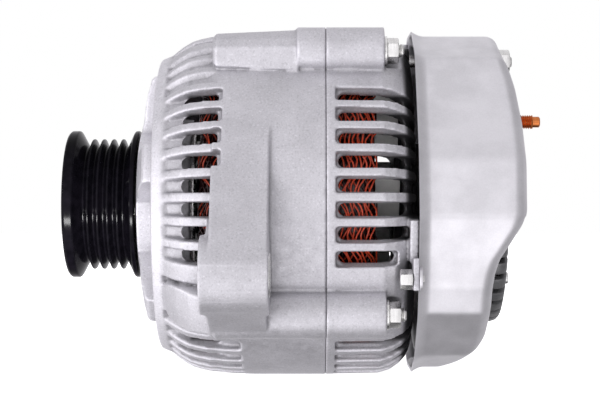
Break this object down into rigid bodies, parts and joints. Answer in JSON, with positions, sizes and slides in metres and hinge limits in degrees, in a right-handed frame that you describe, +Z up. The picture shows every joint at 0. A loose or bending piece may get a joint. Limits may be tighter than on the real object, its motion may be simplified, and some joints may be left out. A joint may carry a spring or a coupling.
{
  "type": "car alternator",
  "caption": "Belt-driven alternator: cast frames with cooling windows, grooved pulley, claw-pole rotor with twin fans, and a stamped rear cover over the rectifier.",
  "frame": {"origin": "on the shaft axis, in the centre plane of the belt grooves", "axes": "+X along the shaft from the pulley to the rear cover, +Z up, -Y towards the pivot ear"},
  "size_m": [0.1712, 0.1582, 0.1256],
  "materials": {
    "cast_aluminium": "sand-blasted casting",
    "cover_aluminium": "satin pressed sheet",
    "vent_cap_metal": "grey pressed sheet",
    "heat_sink_aluminium": "mill finish",
    "pulley_black": "gloss black coating",
    "zinc_steel": "bright zinc plate",
    "dark_steel": "oiled steel",
    "bearing_steel": "ground and polished",
    "lamination_steel": "varnished laminations",
    "pole_iron": "forged, varnished",
    "fan_steel": "pressed sheet",
    "winding_copper": "enamelled magnet wire",
    "copper_stud": "copper plated thread",
    "slip_ring_copper": "turned and polished",
    "black_plastic": "glass-filled moulding",
    "brown_insulation": "phenolic moulding",
    "carbon": "pressed carbon"
  },
  "bodies": {
    "housing": {"front_frame": "cast_aluminium", "rear_frame": "cast_aluminium", "pivot_bush": "zinc_steel", "stator_core": "lamination_steel", "stator_winding": "winding_copper", "through_studs": "zinc_steel", "stud_washers": "zinc_steel", "stud_nuts": "zinc_steel", "front_bearing_outer_race": "bearing_steel", "front_bearing_retainer": "zinc_steel", "retainer_screws": "zinc_steel", "rear_bearing_sleeve": "brown_insulation", "rear_bearing_outer_race": "bearing_steel", "brush_holder": "black_plastic", "inner_brush_spring": "zinc_steel", "outer_brush_spring": "zinc_steel", "negative_heat_sink": "heat_sink_aluminium", "positive_heat_sink": "heat_sink_aluminium", "rectifier_diodes": "zinc_steel", "rectifier_spacers": "brown_insulation", "rectifier_terminal_block": "black_plastic", "voltage_regulator": "heat_sink_aluminium", "connector_socket": "black_plastic", "rear_cover": "cover_aluminium", "vent_cap": "vent_cap_metal", "vent_cap_screws": "zinc_steel", "cover_studs": "zinc_steel", "cover_nuts": "zinc_steel", "flange_bolt": "zinc_steel", "battery_terminal_stud": "copper_stud", "battery_terminal_insulator": "black_plastic"},
    "rotor": {"shaft": "dark_steel", "pulley": "pulley_black", "pulley_nut": "dark_steel", "bearing_collar": "dark_steel", "front_bearing_inner_race": "bearing_steel", "rear_bearing_inner_race": "bearing_steel", "front_claw_pole": "pole_iron", "rear_claw_pole": "pole_iron", "coil_bobbin": "brown_insulation", "field_coil": "winding_copper", "front_fan": "fan_steel", "rear_fan": "fan_steel", "slip_ring_insulator": "brown_insulation", "slip_rings": "slip_ring_copper"},
    "front_bearing_set": {"front_bearing_balls": "bearing_steel", "front_bearing_cage": "dark_steel"},
    "rear_bearing_set": {"rear_bearing_balls": "bearing_steel", "rear_bearing_cage": "dark_steel"},
    "inner_brush_body": {"inner_brush": "carbon"},
    "outer_brush_body": {"outer_brush": "carbon"}
  },
  "joints": [
    {"name": "rotor_spin", "type": "hinge", "parent": "housing", "child": "rotor", "pos_m": [0, 0, 0], "axis": [1, 0, 0], "continuous": true},
    {"name": "front_bearing_roll", "type": "hinge", "parent": "housing", "child": "front_bearing_set", "pos_m": [0.025, 0, 0], "axis": [1, 0, 0], "continuous": true},
    {"name": "rear_bearing_roll", "type": "hinge", "parent": "housing", "child": "rear_bearing_set", "pos_m": [0.1133, 0, 0], "axis": [1, 0, 0], "continuous": true},
    {"name": "inner_brush_slide", "type": "slide", "parent": "housing", "child": "inner_brush_body", "axis": [0, 0, 1], "range_m": [0, 0.005], "deforming": ["inner_brush_spring"]},
    {"name": "outer_brush_slide", "type": "slide", "parent": "housing", "child": "outer_brush_body", "axis": [0, 0, 1], "range_m": [0, 0.005], "deforming": ["outer_brush_spring"]}
  ],
  "couplings": [
    {"joint": "front_bearing_roll", "follows": "rotor_spin", "ratio": 0.366},
    {"joint": "rear_bearing_roll", "follows": "rotor_spin", "ratio": 0.38}
  ]
}
